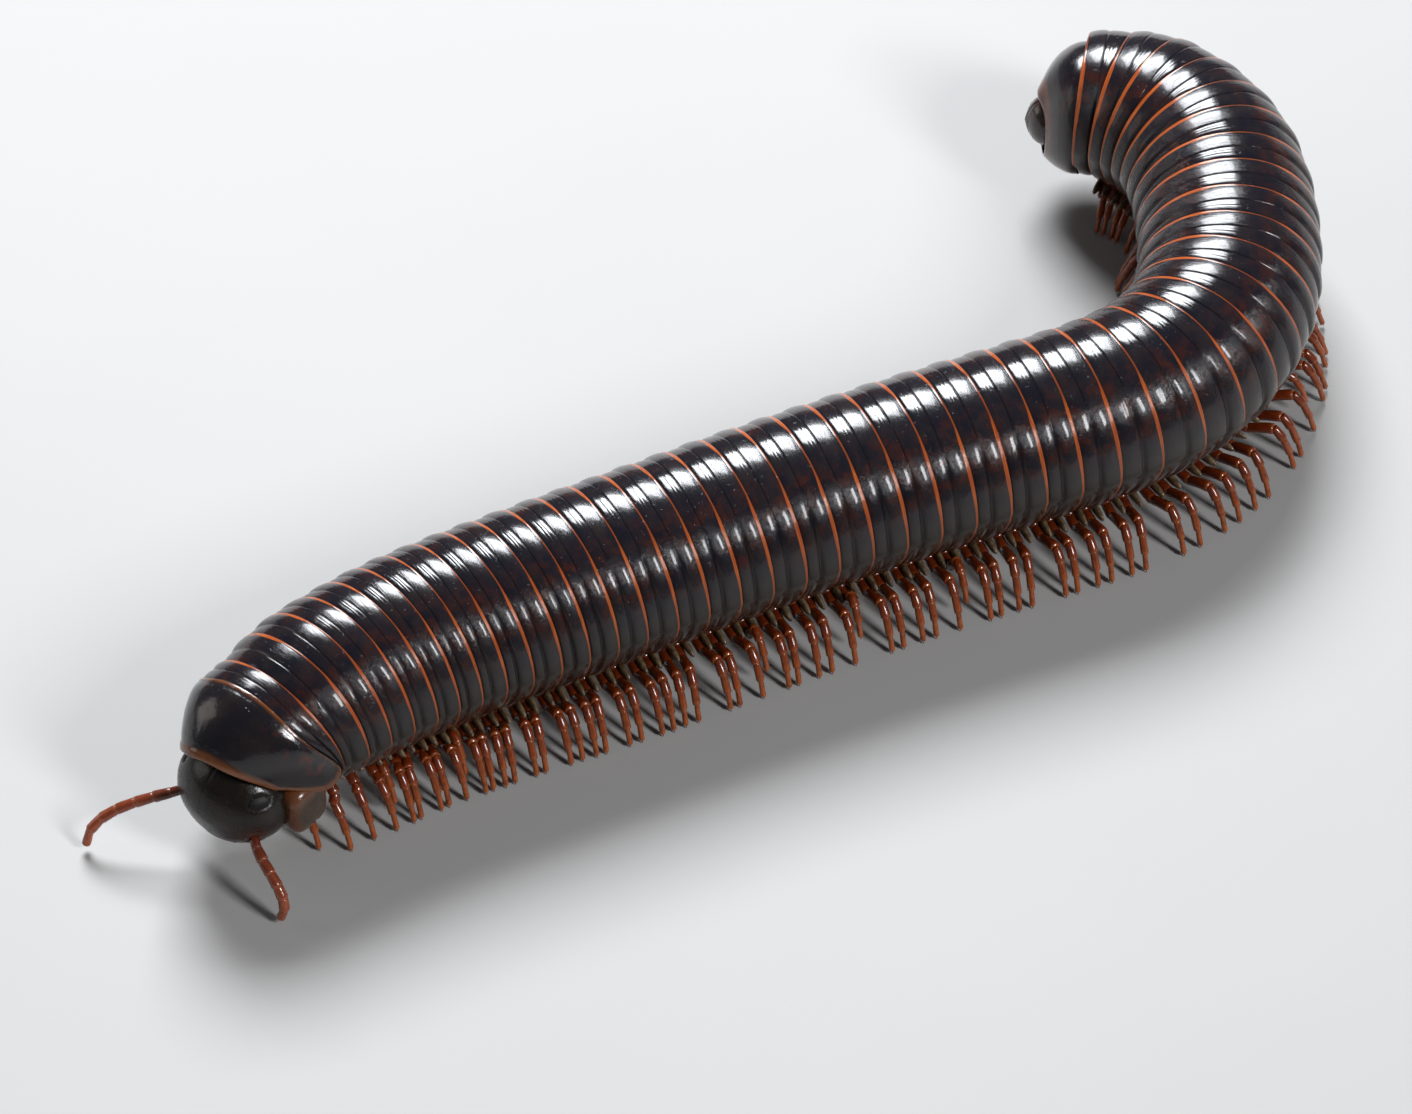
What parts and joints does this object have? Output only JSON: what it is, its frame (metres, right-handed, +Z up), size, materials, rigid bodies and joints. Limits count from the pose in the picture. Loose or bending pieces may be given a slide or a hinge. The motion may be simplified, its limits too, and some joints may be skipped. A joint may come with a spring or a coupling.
{
  "type": "millipede",
  "caption": "Life-size round-backed millipede walking: ringed dark body with orange rims, shielded neck, bead-like antennae, dense slender legs, tail curled round.",
  "frame": {"origin": "centre of the whole animal's bounding box in plan, on the floor it walks on", "axes": "+Z up from the floor; the body runs from the head at -X, -Y to the bend at +X, and +Y points away from the side the picture was taken from"},
  "size_m": [0.0674, 0.0596, 0.0121],
  "materials": {
    "shell": "glossy dark chitin with orange-brown ring rims and red-brown legs",
    "head_shell": "smooth glossy dark brown chitin",
    "cheek_shell": "thin translucent brown chitin",
    "eye": "near-black patch of small glossy lenses",
    "antenna": "glossy red-brown chitin"
  },
  "bodies": {
    "root": {"trunk_01": "shell", "trunk_02": "shell", "trunk_03": "shell", "trunk_04": "shell", "trunk_05": "shell", "trunk_06": "shell", "trunk_07": "shell", "trunk_08": "shell", "trunk_09": "shell", "trunk_10": "shell", "collum": "shell", "telson": "shell", "anal_valve_left": "shell", "anal_valve_right": "shell", "head": "head_shell", "cheek_left": "cheek_shell", "cheek_right": "cheek_shell", "chin_plate": "cheek_shell", "eye_left": "eye", "eye_right": "eye", "antenna_left": "antenna", "antenna_right": "antenna"}
  },
  "joints": []
}
